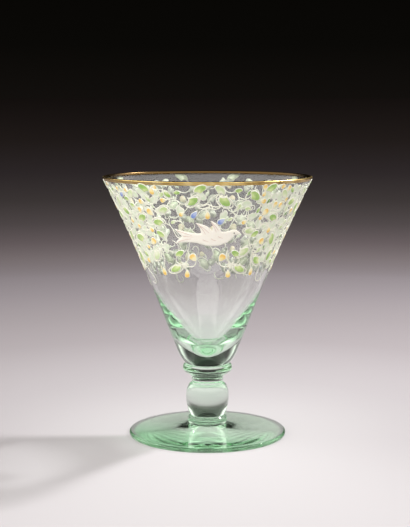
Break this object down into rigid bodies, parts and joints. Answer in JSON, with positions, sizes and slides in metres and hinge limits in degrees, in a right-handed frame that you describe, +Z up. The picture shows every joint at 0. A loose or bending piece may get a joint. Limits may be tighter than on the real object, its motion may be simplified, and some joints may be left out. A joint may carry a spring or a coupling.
{
  "type": "stemmed glass",
  "caption": "Pale green stemmed drinking glass: flared bowl with a gilt lip and raised enamel scrolls and bird, on a knop stem and a round foot.",
  "frame": {"origin": "middle of the foot's ground ring, on the surface that the glass stands on", "axes": "+Z up along the axis of the glass; -Y is the front, with the bird of the enamel decoration"},
  "size_m": [0.12, 0.12, 0.15],
  "materials": {
    "bowl_glass": "fire-polished pale green blown glass",
    "stem_glass": "fire-polished green glass, worked hot in solid gathers",
    "foot_glass": "fire-polished green glass, ground where it stands",
    "gilding": "burnished gilding fired on the lip",
    "white_enamel": "raised ivory-white enamel, glossy",
    "green_enamel": "raised leaf-green enamel, glossy",
    "yellow_enamel": "raised orange-yellow enamel, glossy",
    "blue_enamel": "raised pale blue enamel, glossy"
  },
  "bodies": {
    "root": {"bowl": "bowl_glass", "merese": "stem_glass", "neck": "stem_glass", "knop": "stem_glass", "foot_collar": "stem_glass", "foot": "foot_glass", "gilt_rim": "gilding", "enamel_bird": "white_enamel", "enamel_crest_spray": "green_enamel", "enamel_low_spray_left": "yellow_enamel", "enamel_low_spray_right": "yellow_enamel", "enamel_garland_1": "green_enamel", "enamel_garland_2": "green_enamel", "enamel_garland_3": "green_enamel", "enamel_garland_4": "green_enamel", "enamel_garland_5": "green_enamel", "enamel_garland_6": "green_enamel", "enamel_garland_7": "green_enamel", "enamel_garland_8": "green_enamel"}
  },
  "joints": []
}
